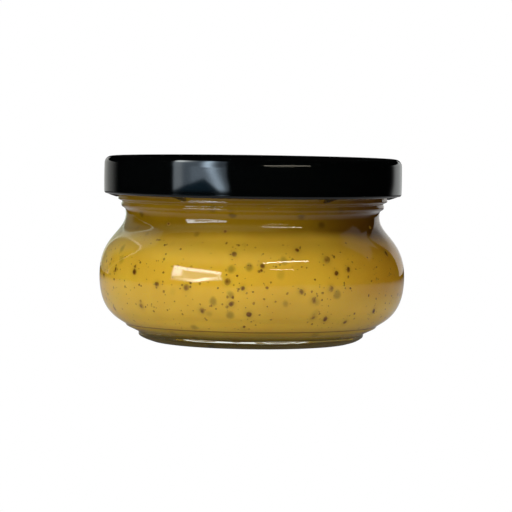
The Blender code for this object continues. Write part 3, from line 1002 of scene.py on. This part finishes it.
def window_in_lid(azimuth, elevation):
    """A window as the lid mirrors it: a neutral left block, a blue pane with a bright slanted strip, and a
    dark hill, a tent with its peak at HILL_PEAK. Higher up the columns lean back, so that they run
    straight over the lid's shoulder: column = 2 atan2(cos e sin a, 1 + cos e cos a)."""
    a, e = np.radians(azimuth), np.radians(elevation)
    column = np.degrees(2 * np.arctan2(np.cos(e) * np.sin(a), 1 + np.cos(e) * np.cos(a)))
    low = np.clip(elevation, -2, 5)
    left = LID_WINDOW_SIDES[0]
    right = LID_WINDOW_SIDES[1] - 2.4 * step(elevation, 0.8, 0.6)
    inside = between(column, left, right, 0.45) * step(elevation, -1.35, 0.15)
    inside *= step(azimuth, ROOM_END, 3.0)
    block = 1.6 * between(column, left, LID_BLOCK_END, 0.9)
    pane = 2.0 + 1.5 * step(column, LID_PANE_START, 1.0) * step(-elevation, -9, 4.0)
    off_strip = column - STRIP_MIDDLE - STRIP_LEAN * (STRIP_PIVOT - low)
    strip = (5.2 + 5.5 * step(elevation, 4.2, 0.6)) * np.exp(-(off_strip / 4.0) ** 2)
    faded = 1 - 0.5 * step(column, -24.0 + 0.9 * (STRIP_PIVOT - low), 0.8)
    rim = step(elevation, 56, 2.0) * step(-azimuth, 75, 8.0)
    slope = np.where(column < HILL_PEAK, *HILL_SLOPES) * np.abs(column - HILL_PEAK)
    hill = HILL_HEIGHT - np.sqrt(slope ** 2 + 0.03)
    open_sky = inside * step(elevation, hill, 0.12) * (1 - 0.4 * rim)
    dark_hill = inside * step(-elevation, -hill, 0.12)
    glare = 7.0 * rim * inside * np.exp(-((column - GLARE_MIDDLE) / 9) ** 2)
    neutral = tinted(open_sky * block + glare, "#f6fbf8")
    sky = tinted(open_sky * (pane + strip) * faded, "#cee5f8")
    return neutral + sky + tinted(0.42 * dark_hill, "#78bce8")


GLASS_WINDOW_SIDES = (-60.0, -19.4)
GLASS_BLOCK_END = -51.8
TOP_BAND = 4.4


def window_in_glass(azimuth, elevation):
    """The window as the glass mirrors it: a bright left block, a bright top band that slants down to the
    right, a right frame, a dim pane, and a bright bottom band that follows straight pieces."""
    top = 21.0 - 0.205 * (azimuth + 62)
    left = GLASS_WINDOW_SIDES[0]
    right = GLASS_WINDOW_SIDES[1] - 0.45 * np.clip(elevation, 0, 6)
    places = [-58, -52, -46, -42, -38, -34, -30, -22]
    middle = np.interp(azimuth, places, [2.6, 1.4, 0.6, 0.0, 1.2, 3.0, 3.8, 4.6])
    bright = np.interp(azimuth, places, [3.0, 4.5, 7.5, 11.0, 14.5, 17.0, 11.0, 4.0])
    inside = between(azimuth, left, right, 0.35) * between(elevation, middle - 2.3, top, 0.35)
    block = 11.5 * between(azimuth, left - 1.0, GLASS_BLOCK_END, 0.8) * step(elevation, 4.5, 1.0)
    frame_top = 12.5 * step(elevation, top - TOP_BAND, 0.5)
    frame_right = 6.5 * step(azimuth, right - 2.6, 0.4) * step(elevation, 2.0, 0.8)
    band = bright * np.exp(-((elevation - middle) / 2.1) ** 4)
    pane = 2.6 + 1.1 * np.exp(-((azimuth + 49 + 1.1 * (elevation - 5)) / 1.6) ** 2)
    brightest = np.maximum.reduce([block, pane, frame_top, frame_right, band])
    return tinted(inside * brightest, "#ecf6f8")


def ceiling_glow(azimuth, elevation):
    """The warm light of the ceiling, strongest round the window's top, gone at the right."""
    near = 0.75 + 0.6 * between(azimuth, -56, -22, 3.0) * step(-elevation, -38, 3.0)
    return tinted(near * between(azimuth, -96, 24, 6.0) * between(elevation, 27, 56, 3.0), "#f2f2a8")


OPENING_MIDDLE = (-139.0, 16.0)
OPENING_AXIS = (0.822, 0.569)


def left_wall_glow(azimuth, elevation):
    """A pale wall all round the left shoulder's side, with an opening in it whose rim is bright: an ellipse
    with its long axis at 35 degrees, and level lines of its quadratic form."""
    off_azimuth, off_elevation = azimuth - OPENING_MIDDLE[0], elevation - OPENING_MIDDLE[1]
    along = off_azimuth * OPENING_AXIS[0] + off_elevation * OPENING_AXIS[1]
    across = -off_azimuth * OPENING_AXIS[1] + off_elevation * OPENING_AXIS[0]
    form = ((along - 2) / 30) ** 2 + ((across + 4.5) / 11.8) ** 2
    level = 0.62 + 0.08 * step(elevation, 12, 2.0)
    reach = np.maximum(step(across, -6, 1.5), step(-azimuth, 134, 1.5))
    wall = level * reach * (1 - 0.6 * step(-form, -1.0, 0.04)) * between(azimuth, -177, -105, 2.5)
    rim = (0.5 + 1.2 * step(along, 17, 2.0)) * np.exp(-((form - 1.05) / 0.09) ** 2) * step(across, -16, 2.0)
    return tinted((wall + rim) * between(elevation, -7, 44, 1.2), "#eef8e4")


def right_wall_glow(azimuth, elevation):
    """A pale wall at the right shoulder's side, above a jagged edge: straight pieces between places."""
    edge = np.interp(azimuth, [103, 116, 125, 130, 134, 138, 144], [19, 26, 31, 25, 31, 24, -9])
    level = 0.72 - 0.44 * step(elevation, 14, 1.5)
    wall = between(azimuth, 103, 177, 0.8) * step(elevation, edge, 0.5) * between(elevation, -7, 46, 1.2)
    return tinted(level * wall, "#fbf8f2")


def left_edge_glow(azimuth, elevation):
    """A pale wall behind the left, which fades towards the front: straight pieces between seven places."""
    places = [-168, -150, -140, -136, -131, -127, -123]
    return tinted(np.interp(azimuth, places, [0.62, 0.50, 0.34, 0.28, 0.14, 0.04, 0.0]), "#fbfcf6")


def right_edge_glow(azimuth, elevation):
    """A pale wall behind the right. Its front edge is soft and stands further forward low down."""
    edge = 136.5 - 5.0 * step(-elevation, 0.6, 0.4)
    return tinted(0.74 * step(azimuth, edge, 1.8), "#f8fbf9")


# Each card: azimuths, elevations, distance, glow, steps of its mesh, and the pieces that it shows in.
card("lid_window_card", (-66, -12), (-4, 12), 0.55, window_in_lid, (162, 128), [lid])
card("lid_window_card_high", (-179, -10), (12, 80), 0.55, window_in_lid, (169, 136), [lid])
card("glass_window_card", (-66, -12), (-4, 24), 0.55, window_in_glass, (162, 168), [jar])
card("ceiling_card", (-120, 48), (14, 75), 0.60, ceiling_glow, (84, 61), [jar])
card("left_edge_card", (-168, -122), (-6, 12), 0.62, left_edge_glow, (92, 36), [lid])
card("right_edge_card", (122, 166), (-6, 12), 0.62, right_edge_glow, (88, 72), [lid])
card("left_wall_card", (-179, -98), (-8, 48), 0.60, left_wall_glow, (160, 112), [jar])
card("right_wall_card", (100, 179), (-8, 48), 0.60, right_wall_glow, (160, 112), [jar])

# %% [markdown]
# The camera
#
# The photo was taken from a little above the table with a long lens, and the picture leans by less than a
# degree. The distances were worked out from the ellipses of the lid and the foot.

# %% Camera
CAMERA_DISTANCE = 777.0 * MM
CAMERA_HEIGHT = 67.0 * MM
CAMERA_PITCH = math.radians(-3.15)
CAMERA_YAW = math.radians(-0.084)
CAMERA_ROLL = math.radians(0.8)
FOCAL_PIXELS = 2729.0
PICTURE_PIXELS = 512.0
SENSOR_WIDTH = 36.0

camera_data = bpy.data.cameras.new("camera")
camera_data.sensor_width = SENSOR_WIDTH
camera_data.lens = FOCAL_PIXELS / PICTURE_PIXELS * SENSOR_WIDTH
camera = bpy.data.objects.new("camera", camera_data)
scene.collection.objects.link(camera)
camera.location = (0.0, -CAMERA_DISTANCE, CAMERA_HEIGHT)
turn = (
    Matrix.Rotation(CAMERA_YAW, 4, "Z")
    @ Matrix.Rotation(math.pi / 2 + CAMERA_PITCH, 4, "X")
    @ Matrix.Rotation(CAMERA_ROLL, 4, "Z")
)
camera.rotation_euler = turn.to_euler()
scene.camera = camera

# %% Bring the scene up to date
bpy.context.view_layer.update()
